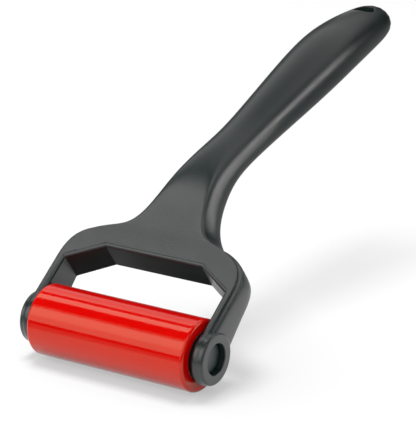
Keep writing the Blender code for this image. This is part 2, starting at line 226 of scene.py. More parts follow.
def rounded(corners: Sequence[Corner], steps: int, closed: bool) -> list[Point]:
    """Round the corners of an outline.

    Args:
        corners: Each corner's two coordinates and the radius of its rounding.
        steps: How many steps a rounding has.
        closed: Whether the last corner joins the first.

    Returns:
        The outline's points, with an arc in place of each corner that has a radius.
    """
    points: list[Point] = []
    count = len(corners)
    for index, (across, up, radius) in enumerate(corners):
        here = Vector((across, up))
        at_end = not closed and index in (0, count - 1)
        if radius <= 0 or at_end:
            points.append((across, up))
            continue
        back = (Vector(corners[index - 1][:2]) - here).normalized()
        on = (Vector(corners[(index + 1) % count][:2]) - here).normalized()
        half = back.angle(on) / 2
        run = radius / tan(half)
        centre = here + (back + on).normalized() * radius / sin(half)
        start = here + back * run - centre
        sweep = start.angle_signed(here + on * run - centre)
        for step in range(steps + 1):
            turn = Matrix.Rotation(-sweep * step / steps, 2)
            place = centre + turn @ start
            points.append((place.x, place.y))
    return points


def ring(
    name: str, ends: Point, radii: Point, roundings: Point, arc_steps: int, steps: int,
) -> Piece:
    """A turned ring with rounded edges.

    Args:
        name: Its name.
        ends: Where it starts and ends along the axle.
        radii: Its outer and inner radius.
        roundings: The roundings of its outer and inner edges.
        arc_steps: How many steps a rounding has.
        steps: How many steps the full turn has.

    Returns:
        The ring.
    """
    low, high = sorted(ends)
    corners = [
        (low, radii[0], roundings[0]),
        (high, radii[0], roundings[0]),
        (high, radii[1], roundings[1]),
        (low, radii[1], roundings[1]),
    ]
    return turned(name, corners, arc_steps, steps, solid=False)


def quarter_turn(steps: int) -> list[Point]:
    """The distances of a rounding's steps from its wall and its face, as shares of its radius."""
    angles = [radians(90 * step / steps) for step in range(steps + 1)]
    return [(1 - cos(angle), 1 - sin(angle)) for angle in angles]


def carve(piece: Piece, tool: Piece, cut: Cut) -> None:
    """Cut a tool out of a piece or join it on, and put the tool away.

    Args:
        piece: The piece that is shaped.
        tool: The shape that cuts or joins.
        cut: Which of the two it does.
    """
    modifier = piece.modifiers.new(tool.name, "BOOLEAN")
    modifier.operation = cut.value
    modifier.solver = "EXACT"
    modifier.object = tool
    take_up(piece)
    bpy.ops.object.modifier_apply(modifier=modifier.name)
    bpy.data.objects.remove(tool, do_unlink=True)


def smooth(piece: Piece) -> None:
    """Shade a piece smooth except at its sharp edges, with its large faces kept flat.

    Args:
        piece: The piece to shade.
    """
    take_up(piece)
    bpy.ops.object.shade_smooth_by_angle(angle=SMOOTH_ANGLE)
    modifier = piece.modifiers.new("even_shading", "WEIGHTED_NORMAL")
    modifier.keep_sharp = True
    bpy.ops.object.modifier_apply(modifier=modifier.name)


def fit(piece: Piece, body: Body, node: str, finish: "Finish") -> Piece:
    """Smooth and dress a piece, hide the node that it stands for and let it ride on its body.

    Args:
        piece: The finished mesh.
        body: The body that it moves with.
        node: The node that it stands for.
        finish: Its finish.

    Returns:
        The piece.
    """
    smooth(piece)
    piece.data.materials.clear()
    piece.data.materials.append(finish.material())
    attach(piece, body.value)
    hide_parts(node)
    log.info("%s: %d faces, rides on %s", piece.name, len(piece.data.polygons), body.value)
    return piece


# Finishes


@dataclass(frozen=True)
class Wiring:
    """A node tree whose nodes are set and linked as they are made."""

    tree: bpy.types.NodeTree

    def fill(self, node: bpy.types.Node, inputs: dict[str | int, Feed]) -> None:
        """Set or link a node's inputs.

        Args:
            node: The node.
            inputs: For each input, its value or the output that feeds it.
        """
        for label, value in inputs.items():
            socket = node.inputs[label]
            if isinstance(value, Socket):
                self.tree.links.new(value, socket)
            else:
                socket.default_value = value

    def node(self, kind: str, inputs: dict[str | int, Feed], **settings: object) -> bpy.types.Node:
        """Add a shader node.

        Args:
            kind: Its type.
            inputs: For each input, its value or the output that feeds it.
            settings: Its own settings, which come before its inputs.

        Returns:
            The node.
        """
        node = self.tree.nodes.new(f"ShaderNode{kind}")
        for label, value in settings.items():
            setattr(node, label, value)
        self.fill(node, inputs)
        return node

    def maths(self, operation: str, *values: Feed) -> Socket:
        """The output of a Math node."""
        return self.node("Math", dict(enumerate(values)), operation=operation).outputs["Value"]

    def product(self, first: Feed, *others: Feed) -> Feed:
        """Multiply values.

        Args:
            first: The first of them.
            others: The others in order.

        Returns:
            The product.
        """
        for other in others:
            first = self.maths("MULTIPLY", first, other)
        return first

    def rest(self, share: Feed) -> Socket:
        """What a share leaves of 1."""
        return self.maths("SUBTRACT", 1.0, share)

    def ramp(self, value: Feed, ends: Point, shape: str = "SMOOTHSTEP") -> Socket:
        """A rise from 0 to 1 between two ends."""
        inputs = {"Value": value, "From Min": ends[0], "From Max": ends[1]}
        return self.node("MapRange", inputs, interpolation_type=shape).outputs["Result"]

    def mixed(self, share: Feed, first: Feed, second: Feed) -> Socket:
        """A mix of two colours by the second one's share."""
        inputs = {"Factor": share, "A": first, "B": second}
        return self.node("Mix", inputs, data_type="RGBA").outputs["Result"]


def skin_group(skin: Skin) -> bpy.types.NodeTree:
    """The shared node group of a kind of surface, built once.

    Args:
        skin: The kind of surface.

    Returns:
        A group with a tone, a roughness and a height, all of which change over the surface.
    """
    found = bpy.data.node_groups.get(skin.value)
    if found is not None:
        return found
    group = bpy.data.node_groups.new(skin.value, "ShaderNodeTree")
    for way, kind, labels in (
        ("INPUT", "Vector", ("Place",)),
        ("INPUT", "Color", ("Light Tone", "Dark Tone")),
        ("INPUT", "Float", ("Smoothest", "Roughest", "Patch Scale", "Grain Scale")),
        ("OUTPUT", "Color", ("Tone",)),
        ("OUTPUT", "Float", ("Roughness", "Height")),
    ):
        for label in labels:
            group.interface.new_socket(label, in_out=way, socket_type=f"NodeSocket{kind}")
    wiring = Wiring(group)
    given = group.nodes.new("NodeGroupInput").outputs
    place = given["Place"]

    patch = wiring.node("TexNoise", {
        "Vector": place, "Scale": given["Patch Scale"], "Detail": PATCH_DETAIL,
    }).outputs["Fac"]
    spread = wiring.ramp(patch, (PATCH_LOW, PATCH_HIGH), "LINEAR")

    around = skin is Skin.TURNED
    if around:
        track = {"W": wiring.node("SeparateXYZ", {"Vector": place}).outputs["X"]}
    else:
        track = {"Vector": place}
    grain = wiring.node("TexNoise", {
        **track, "Scale": given["Grain Scale"], "Detail": GRAIN_DETAIL,
    }, noise_dimensions="1D" if around else "3D").outputs["Fac"]

    roughness = wiring.node("MapRange", {
        "Value": wiring.maths("MULTIPLY_ADD", grain, GRAIN_SHARE, spread),
        "From Max": 1 + GRAIN_SHARE,
        "To Min": given["Smoothest"],
        "To Max": given["Roughest"],
    }).outputs["Result"]
    wiring.fill(group.nodes.new("NodeGroupOutput"), {
        "Tone": wiring.mixed(spread, given["Dark Tone"], given["Light Tone"]),
        "Roughness": roughness,
        "Height": grain,
    })
    return group


@dataclass(frozen=True)
class Finish:
    """A surface: its two tones, its shine and its grain."""

    slot: str
    skin: Skin
    light: Colour
    dark: Colour
    smoothest: float
    roughest: float
    patch_scale: float
    grain_scale: float
    grain_depth: float
    metallic: float = 0.0
    ior: float = 1.5
    sheen_tint: Colour = (1.0, 1.0, 1.0)

    def material(self) -> bpy.types.Material:
        """The finish as a material, built once.

        Returns:
            The material.
        """
        found = bpy.data.materials.get(f"{self.slot}_finish")
        if found is not None:
            return found
        material = bpy.data.materials.new(f"{self.slot}_finish")
        material.use_nodes = True
        wiring = Wiring(material.node_tree)
        skin = wiring.node("Group", {
            "Place": wiring.node("TexCoord", {}).outputs["Object"],
            "Light Tone": (*self.light, 1),
            "Dark Tone": (*self.dark, 1),
            "Smoothest": self.smoothest,
            "Roughest": self.roughest,
            "Patch Scale": self.patch_scale,
            "Grain Scale": self.grain_scale,
        }, node_tree=skin_group(self.skin)).outputs
        bump = wiring.node("Bump", {
            "Strength": 1.0, "Distance": self.grain_depth, "Height": skin["Height"],
        })
        wiring.fill(material.node_tree.nodes["Principled BSDF"], {
            "Base Color": skin["Tone"],
            "Roughness": skin["Roughness"],
            "Normal": bump.outputs["Normal"],
            "Metallic": self.metallic,
            "IOR": self.ior,
            "Specular Tint": (*self.sheen_tint, 1),
        })
        return material


# Each has its slot and skin, its light and dark tone, its least and most roughness, the scales of
# its patches and its grain, and the grain's depth.
BLACK_PLASTIC = Finish(
    "black_plastic", Skin.MOULDED, (0.0062, 0.0152, 0.0148), (0.0050, 0.0124, 0.0120),
    0.27, 0.35, 90, 1900, 0.000040, ior=1.6, sheen_tint=(1.0, 0.93, 0.935),
)
RED_RUBBER = Finish(
    "red_rubber", Skin.TURNED, (0.690, 0.0016, 0.0008), (0.662, 0.0010, 0.0005),
    0.08, 0.12, 140, 9000, 0.0000004, ior=1.46, sheen_tint=(0.66, 1.0, 0.64),
)
# The core's near-black tone makes the space between the roller's end and the boss render dark:
# painted shade there.
SHADED_CORE_PLASTIC = Finish(
    "core_plastic", Skin.MOULDED, (0.030, 0.030, 0.030), (0.025, 0.025, 0.025),
    0.40, 0.52, 160, 4200, 0.000006,
)
BUSH_NYLON = Finish(
    "bush_nylon", Skin.TURNED, (0.040, 0.040, 0.040), (0.033, 0.033, 0.033),
    0.34, 0.46, 240, 9000, 0.000003,
)
AXLE_STEEL = Finish(
    "axle_steel", Skin.TURNED, (0.58, 0.59, 0.60), (0.50, 0.51, 0.52),
    0.22, 0.36, 320, 14000, 0.000002, metallic=1.0,
)
WASHER_NYLON = Finish(
    "washer_nylon", Skin.TURNED, (0.036, 0.036, 0.036), (0.028, 0.028, 0.028),
    0.40, 0.52, 300, 9000, 0.000003,
)
PLUG_PLASTIC = Finish(
    "plug_plastic", Skin.MOULDED, (0.0070, 0.0215, 0.0196), (0.0058, 0.0180, 0.0164),
    0.36, 0.44, 220, 1900, 0.000026, ior=1.6,
)


# Fork and grip


@dataclass(frozen=True)
class Section:
    """One ring of the frame's cage: its reach and its right half from the front to the back."""

    reach: float
    half: tuple[Point, ...]
    front_crease: float
    back_crease: float


@dataclass
class ForkAndGrip:
    """The black moulding: arms with a ledge, bosses, window, shoulders, neck and grip."""

    tilt: float = radians(36.3)
    spine_height: float = 0.0033
    half_plate: float = 0.0055
    arm_inner: float = 0.0335
    arm_outer: float = 0.0380
    throat: float = 0.0632
    length: float = 0.1378
    bend_share: float = 0.116
    straight_share: float = 0.493
    grip_tilt: float = radians(18.0)
    tip_tilt: float = radians(8.0)
    ledge_width: float = 0.0019
    ledge_depth: float = 0.0011
    ledge_least: float = 0.35
    step_crease: float = 0.28
    step_least: float = 0.3
    step_round: float = 0.8
    step_slant: float = 0.96
    edge_round: float = 0.0008
    edge_share: float = 0.6
    crown_pull: float = 0.28
    arm_backs: tuple[Point, ...] = (
        (0.0, 0.0102), (0.0120, 0.00823), (0.0200, 0.00692), (0.0265, 0.0063), (0.0332, 0.0061),
    )
    window_top: float = 0.0203
    window_reach: float = 0.0290
    window_corner: float = 0.0213
    window_corner_round: float = 0.0006
    window_stops: tuple[float, ...] = (-0.020, 0.0, 0.012)
    window_front_round: float = 0.0012
    window_back_round: float = 0.0005
    boss_radius: float = 0.0096
    boss_outer: float = 0.0382
    boss_round: float = 0.0010
    boss_inner_round: float = 0.0013
    boss_step: float = 0.0003
    boss_step_round: float = 0.0003
    boss_slope: float = 0.0010
    bore_radius: float = 0.0055
    bore_seat: float = 0.0347
    bore_seat_round: float = 0.0002
    bore_round: float = 0.00035
    bore_flare: tuple[Point, ...] = ((1, 0), (0.7, 0.05), (0.3, 0.3), (0.05, 0.7), (0, 1))
    bore_overlap: float = 0.00001
    bore_beyond: float = 0.004
    hole_radius: float = 0.0046
    hang_radius: float = 0.0044
    hang_setback: float = 0.0142
    hang_round: float = 0.0005
    hang_overlap: float = 0.00006
    hang_beyond: float = 0.010
    hang_sight: float = 0.05
    levels: int = 3

    def spine(self, reach: float) -> tuple[Vector, float]:
        """The middle line of the frame.

        Args:
            reach: The way along the line from the axle.

        Returns:
            The place and the tilt there.
        """
        tilt = self.tilt
        place = AXLE_LINE + self.spine_height * Vector((0, -sin(tilt), cos(tilt)))
        bend_run = self.bend_share * self.length
        straight_run = self.straight_share * self.length
        runs = (
            (self.throat, 0.0),
            (bend_run, self.grip_tilt - self.tilt),
            (straight_run, 0.0),
            (self.length - bend_run - straight_run, self.tip_tilt - self.grip_tilt),
        )
        for run, bend in runs:
            step = min(reach, run)
            angle = bend * step / run
            heading = tilt + angle / 2
            chord = step * sin(angle / 2) / (angle / 2) if angle else step
            place = place + chord * Vector((0, cos(heading), sin(heading)))
            tilt += angle
            reach -= step
        return place, tilt

    def slab(
        self, reach: float, width: float, depth: float, slant: float, ledge: float,
        rise: float = 0.0,
    ) -> Section:
        """A flat section of the arms or shoulders, with a ledge along its outer front edge.

        Args:
            reach: Its place along the middle line.
            width: Half its width.
            depth: How far its back is behind the middle line.
            slant: How much wider its edges are across it than square to the outline.
            ledge: The ledge's share of its full depth.
            rise: How far its front is raised towards the neck.

        Returns:
            The section.
        """
        front = self.half_plate + rise
        soft = self.edge_round
        outer = self.edge_share * soft
        inset = self.ledge_width * slant * (self.ledge_least + (1 - self.ledge_least) * ledge)
        foot = front - max(self.ledge_depth * ledge, self.step_least * soft)
        half = (
            (0.0, front),
            (width - inset - self.step_round * soft * slant, front),
            (width - inset, front),
            (width - inset * self.step_slant, foot),
            (width - outer * slant, foot),
            (width, foot - outer),
            (width, soft - depth),
            (width - soft * slant, -depth),
            (0.0, -depth),
        )
        return Section(reach, half, self.step_crease, 0.0)

    def blend(
        self, reach: float, widths: tuple[float, float, float], heights: tuple[float, float],
        sharp: tuple[float, float], creases: tuple[float, float],
    ) -> Section:
        """A section of the neck, with a flat front, bulging sides and a rounded back.

        Args:
            reach: Its place along the middle line.
            widths: Half widths of its front, its sides and its back.
            heights: How far its front and its back are from the middle line.
            sharp: How sharp the edges of the front and the back are, from 0 to 1.
            creases: How sharp these edges stay when the cage is smoothed.

        Returns:
            The section.
        """
        top, low = Vector((0, heights[0])), Vector((0, -heights[1]))
        front = Vector((widths[0], heights[0]))
        side = Vector((widths[1], 0))
        back = Vector((widths[2], -heights[1]))
        own = 6  # a cage point's weight in its smoothed place, where each neighbour's is 1
        soft_front = (top + own * front + side) / (own + 2)
        soft_back = (side + own * back + low) / (own + 2)
        points = (
            top,
            front.lerp(top, 0.5 - self.crown_pull * sharp[0]),
            soft_front.lerp(front, sharp[0]),
            (front + side) / 2,
            (front + own * side + back) / (own + 2),
            (side + back) / 2,
            soft_back.lerp(back, sharp[1]),
            (back + low) / 2,
            low,
        )
        return Section(reach, tuple((point.x, point.y) for point in points), *creases)

    def oval(self, place: float, width: float, thickness: float, drop: float = 0.0) -> Section:
        """A round section of the grip.

        Args:
            place: Its place as a share of the handle's length past the throat.
            width: Its full width.
            thickness: Its full thickness.
            drop: How far it is below the middle line.

        Returns:
            The section.
        """
        steps = 8
        hull = 6 / (4 + 2 * cos(pi / steps))  # the cage is this much wider than the oval
        half = []
        for step in range(steps + 1):
            angle = pi / 2 - pi * step / steps
            across = hull * width / 2 * cos(angle)
            half.append((across, hull * thickness / 2 * sin(angle) - drop))
        return Section(self.throat + place * self.length, tuple(half), 0.0, 0.0)

    def sections(self) -> list[Section]:
        """All the rings of the cage, from the axle to the end of the grip.

        Returns:
            The sections in order.
        """
        return [
            # Arms and shoulders: reach, half width, depth, slant, ledge and rise.
            self.slab(0.0, self.arm_outer, 0.0102, 1.0, 1.0),
            self.slab(0.0120, self.arm_outer, 0.0081, 1.0, 1.0),
            self.slab(0.0200, self.arm_outer, 0.0068, 1.0, 1.0),
            self.slab(0.0265, self.arm_outer, 0.0062, 1.0, 0.95),
            self.slab(0.0332, 0.0354, 0.0062, 1.4, 0.8, 0.0003),
            self.slab(0.0375, 0.0263, 0.0055, 2.0, 0.45, 0.0007),
            # Neck: reach, half widths, heights, sharpness and creases.
            self.blend(0.0395, (0.0164, 0.0206, 0.0234), (0.0064, 0.0060), (1.0, 0.9), (0.3, 0.3)),
            self.blend(0.0452, (0.0123, 0.0158, 0.0168), (0.0069, 0.0076), (1.0, 0.4), (0.3, 0.1)),
            self.blend(0.0532, (0.0104, 0.0131, 0.0107), (0.0080, 0.0088), (0.7, 0.0), (0.25, 0.0)),
            self.blend(0.0632, (0.0089, 0.0106, 0.0076), (0.0091, 0.0090), (0.35, 0.0), (0.0, 0.0)),
            # Grip: place, width, thickness and drop.
            self.oval(0.087, 0.0176, 0.0172, -0.0006),
            self.oval(0.196, 0.0164, 0.0160),
            self.oval(0.341, 0.0186, 0.0178),
            self.oval(0.486, 0.0211, 0.0202),
            self.oval(0.631, 0.0231, 0.0219),
            self.oval(0.740, 0.0227, 0.0210, 0.0003),
            self.oval(0.893, 0.0199, 0.0170, 0.0017),
            self.oval(1.0, 0.0150, 0.0124, 0.0026),
        ]

    def body(self) -> Piece:
        """The moulding before anything is cut: its cage, smoothed.

        Returns:
            The piece.
        """
        sections = self.sections()
        rings = []
        for section in sections:
            place, tilt = self.spine(section.reach)
            up = Vector((0, -sin(tilt), cos(tilt)))
            left = [(-across, height) for across, height in section.half[-2:0:-1]]
            loop = [*section.half, *left]
            rings.append([place + Vector((across, 0, 0)) + height * up for across, height in loop])
        piece, orders = loft("fork_and_grip", rings)
        edges = {frozenset(edge.vertices): edge.index for edge in piece.data.edges}
        crease = piece.data.attributes.new("crease_edge", "FLOAT", "EDGE")
        root = orders[0]
        for index, vertex in enumerate(root):
            crease.data[edges[frozenset((vertex, root[index - 1]))]].value = 1.0
        for (here, on), (start, end) in zip(zip(sections, sections[1:]), zip(orders, orders[1:])):
            front = (here.front_crease + on.front_crease) / 2
            back = (here.back_crease + on.back_crease) / 2
            foot = min(front, self.step_crease) if here.reach < self.window_reach else 0.0
            for places, value in ((FRONT_EDGES, front), (FOOT_EDGES, foot), (BACK_EDGES, back)):
                for index in places:
                    crease.data[edges[frozenset((start[index], end[index]))]].value = value
        modifier = piece.modifiers.new("smooth_cage", "SUBSURF")
        modifier.levels = modifier.render_levels = self.levels
        take_up(piece)
        bpy.ops.object.modifier_apply(modifier=modifier.name)
        return piece

    def back_height(self, reach: float) -> float:
        """How high the back of the arms is, square to the plate.

        Args:
            reach: The way up the plate from the axle.

        Returns:
            The height from the axle, which is below it.
        """
        depth = self.arm_backs[0][1]
        for (start, deep), (end, shallow) in zip(self.arm_backs, self.arm_backs[1:]):
            share = min(max((reach - start) / (end - start), 0.0), 1.0)
            depth += (shallow - deep) * share
        return self.spine_height - depth

    def window_outline(self, grow: float) -> list[Point]:
        """The window's outline, grown by an even margin.

        Args:
            grow: The margin.

        Returns:
            Its points, across and along the plate.
        """
        rise = self.window_reach - self.window_corner
        run = self.arm_inner - self.window_top
        slope = hypot(rise, run)
        side = self.arm_inner + grow
        top = self.window_reach + grow
        corner = self.window_corner + grow * (slope - rise) / run
        flat = self.window_top + grow * (slope - run) / rise
        soft = self.window_corner_round
        stops = [(side, reach, 0.0) for reach in self.window_stops]
        right = [*stops, (side, corner, soft), (flat, top, soft)]
        left = [(-across, reach, radius) for across, reach, radius in reversed(right)]
        return rounded(right + left, steps=3, closed=True)

    def window_tool(self) -> Piece:
        """The window's cutter, flared by a rounding at the front and at the back.

        Returns:
            The cutter.
        """
        up_plate = Vector((0, cos(self.tilt), sin(self.tilt)))
        off_plate = Vector((0, -sin(self.tilt), cos(self.tilt)))
        front = self.spine_height + self.half_plate + OVERLAP
        small, large = self.window_back_round, self.window_front_round
        flare = quarter_turn(steps=4)
        # Each ring's margin, its height and whether that is from the back of the arms.
        plan = [
            (small, -TOOL_REACH, False),
            *((small * out, small * sink - OVERLAP, True) for out, sink in reversed(flare)),
            *((large * out, front - large * sink, False) for out, sink in flare),
            (large, TOOL_REACH, False),
        ]
        rings = []
        for grow, height, follow in plan:
            loop = []
            for across, reach in self.window_outline(grow):
                base = self.back_height(reach) if follow else 0.0
                place = AXLE_LINE + Vector((across, 0, 0)) + reach * up_plate
                loop.append(place + (base + height) * off_plate)
            rings.append(loop)
        return loft("window_tool", rings)[0]

    def boss(self, side: Side) -> Piece:
        """The round boss on the end of an arm.

        Args:
            side: Which arm.

        Returns:
            The boss.
        """
        inner = self.arm_inner - OVERLAP
        step = self.arm_outer - self.ledge_width
        neck = self.boss_radius - self.boss_step
        corners = [
            (inner, 0.0, 0.0),
            (inner, self.boss_radius, self.boss_inner_round),
            (step - self.boss_slope / 2, self.boss_radius, self.boss_step_round),
            (step + self.boss_slope / 2, neck, self.boss_step_round),
            (self.boss_outer, neck, self.boss_round),
            (self.boss_outer, 0.0, 0.0),
        ]
        return turned(f"{side.label}_boss", corners, arc_steps=5, steps=100, way=side.value)

    def bore_tool(self, side: Side) -> Piece:
        """The cutter of the stepped bore that the axle plug sits in.

        Args:
            side: Which arm.

        Returns:
            The cutter.
        """
        start = self.arm_inner - self.bore_beyond
        mouth = self.boss_outer + self.bore_overlap
        end = mouth + self.bore_beyond
        radius, soft = self.bore_radius, self.bore_round
        corners = [
            (start, 0.0, 0.0),
            (start, self.hole_radius, 0.0),
            (self.bore_seat, self.hole_radius, 0.0),
            (self.bore_seat, radius, self.bore_seat_round),
            *((mouth - back * soft, radius + out * soft, 0.0) for back, out in self.bore_flare),
            (end, radius + soft, 0.0),
            (end, 0.0, 0.0),
        ]
        return turned(f"{side.label}_bore_tool", corners, arc_steps=3, steps=96, way=side.value)

    def hang_tool(self, piece: Piece) -> Piece:
        """The hanging hole's cutter, with mouths that are rounded where they meet the grip.

        Args:
            piece: The moulding that the mouths follow.

        Returns:
            The cutter.
        """
        centre = self.spine(self.throat + self.length - self.hang_setback)[0]
        steps, soft = 64, self.hang_round
        # Each ring's margin and how far it is below the grip's surface.
        mouth = [
            *((soft * out, soft * sink - self.hang_overlap) for out, sink in quarter_turn(steps=5)),
            (soft, -self.hang_beyond),
        ]
        bpy.context.view_layer.update()
        rings = []
        for up, plan in ((-1, reversed(mouth)), (1, mouth)):
            for grow, sink in plan:
                loop = []
                for step in range(steps):
                    turn = 2 * pi * step / steps
                    way = Vector((cos(turn), sin(turn), 0))
                    spot = centre + (self.hang_radius + grow) * way
                    start = spot + Vector((0, 0, up * self.hang_sight))
                    surface = piece.ray_cast(start, Vector((0, 0, -up)))[1]
                    loop.append(Vector((spot.x, spot.y, surface.z - up * sink)))
                rings.append(loop)
        return loft("hang_tool", rings)[0]

    def build(self) -> Piece:
        """Model the moulding, cut it, dress it and fit it.

        Returns:
            The piece.
        """
        piece = self.body()
        carve(piece, self.window_tool(), Cut.TAKE)
        for side in Side:
            carve(piece, self.boss(side), Cut.JOIN)
            carve(piece, self.bore_tool(side), Cut.TAKE)
        carve(piece, self.hang_tool(piece), Cut.TAKE)
        return fit(piece, Body.FORK, "handle_frame", BLACK_PLASTIC)


# Roller


@dataclass
class Roller:
    """The pieces that spin together: rubber sleeve, core tube and bushes."""

    radius: float = 0.0128
    half_length: float = 0.0325
    edge_round: float = 0.0012
    inner_round: float = 0.0003
    sleeve_bore: float = 0.0085
    core_radius: float = 0.0082
    core_bore: float = 0.0062
    core_inset: float = 0.0004
    bush_radius: float = 0.0059
    bush_bore: float = 0.0033
    bush_length: float = 0.0080
    bush_round: float = 0.0004
    arc_steps: int = 6

    def build(self) -> list[Piece]:
        """Model the roller's pieces, dress them and fit them.

        Returns:
            The pieces.
        """
        end, soft, arc = self.half_length, self.inner_round, self.arc_steps
        core_end = end - self.core_inset
        sleeve = ring(
            "rubber_sleeve", (-end, end), (self.radius, self.sleeve_bore),
            (self.edge_round, soft), arc, steps=160,
        )
        core = ring(
            "core_tube", (-core_end, core_end), (self.core_radius, self.core_bore),
            (soft, soft), arc, steps=96,
        )
        plan = [(sleeve, "roller_sleeve", RED_RUBBER), (core, "roller_core", SHADED_CORE_PLASTIC)]
        for side in Side:
            ends = (side.value * (end - self.bush_length), side.value * end)
            bush = ring(
                f"{side.label}_roller_bush", ends, (self.bush_radius, self.bush_bore),
                (self.bush_round, soft), arc, steps=72,
            )
            plan.append((bush, f"{side.label}_bush", BUSH_NYLON))
        return [fit(piece, Body.ROLLER, node, finish) for piece, node, finish in plan]


# Axle set


@dataclass
class AxleSet:
    """The pieces that stay with the fork: axle, washers and the plugs in the bosses."""

    axle_radius: float = 0.0030
    axle_end: float = 0.0350
    axle_round: float = 0.0004
    washer_radius: float = 0.0055
    washer_bore: float = 0.0033
    washer_start: float = 0.0328
    washer_end: float = 0.0332
    washer_round: float = 0.00012
    plug_radius: float = 0.0052
    plug_outer: float = 0.0359
    plug_seat: float = 0.0350
    plug_round: float = 0.00025
    seat_round: float = 0.0001
    hub_radius: float = 0.0043
    hub_round: float = 0.0002
    hub_start: float = 0.0335
    hub_bore: float = 0.0033
    bore_end: float = 0.0353
    dish: float = 0.00012
    dish_floor: float = 0.55
    dish_rim: float = 0.86
    dish_round: float = 0.0004

    def axle(self) -> Piece:
        """The steel axle, with rounded ends.

        Returns:
            The piece.
        """
        corners = [
            (-self.axle_end, 0.0, 0.0),
            (-self.axle_end, self.axle_radius, self.axle_round),
            (self.axle_end, self.axle_radius, self.axle_round),
            (self.axle_end, 0.0, 0.0),
        ]
        return turned("axle_rod", corners, arc_steps=2, steps=64)

    def washer(self, side: Side) -> Piece:
        """The washer between the roller and an arm.

        Args:
            side: Which arm.

        Returns:
            The piece.
        """
        ends = (side.value * self.washer_start, side.value * self.washer_end)
        radii, roundings = (self.washer_radius, self.washer_bore), (self.washer_round,) * 2
        name = f"{side.label}_thrust_washer"
        return ring(name, ends, radii, roundings, arc_steps=3, steps=72)

    def plug(self, side: Side) -> Piece:
        """The plug that holds an end of the axle, with a slightly dished face.

        Args:
            side: Which boss.

        Returns:
            The piece.
        """
        corners = [
            (self.plug_outer - self.dish, 0.0, 0.0),
            (self.plug_outer - self.dish, self.dish_floor * self.plug_radius, 0.0),
            (self.plug_outer, self.dish_rim * self.plug_radius, self.dish_round),
            (self.plug_outer, self.plug_radius, self.plug_round),
            (self.plug_seat, self.plug_radius, self.seat_round),
            (self.plug_seat, self.hub_radius, 0.0),
            (self.hub_start, self.hub_radius, self.hub_round),
            (self.hub_start, self.hub_bore, self.hub_round),
            (self.bore_end, self.hub_bore, 0.0),
            (self.bore_end, 0.0, 0.0),
        ]
        return turned(f"{side.label}_boss_plug", corners, arc_steps=4, steps=96, way=side.value)

    def build(self) -> list[Piece]:
        """Model the axle set, dress it and fit it.

        Returns:
            The pieces.
        """
        plan = [(self.axle(), "axle", AXLE_STEEL)]
        for side in Side:
            plan.append((self.washer(side), f"{side.label}_washer", WASHER_NYLON))
            plan.append((self.plug(side), f"{side.label}_axle_plug", PLUG_PLASTIC))
        return [fit(piece, Body.FORK, node, finish) for piece, node, finish in plan]


# Studio


@dataclass(frozen=True)
class Softbox:
    """A long soft lamp beside the axle line, by the angles, in degrees, that the roller sees."""

    name: str
    low: float
    high: float
    level: float
    distance: float = 1.1
    length: float = 2.42
    middle: float = -1.11


@dataclass(frozen=True)
class Kicker:
    """A soft lamp or small card aimed at a spot on the brayer, with its angles in degrees."""

    name: str
    azimuth: float
    elevation: float
    width: float
    height: float
    level: float
    distance: float = 1.0
    target: Spot = (0.0, 0.0, 0.05)


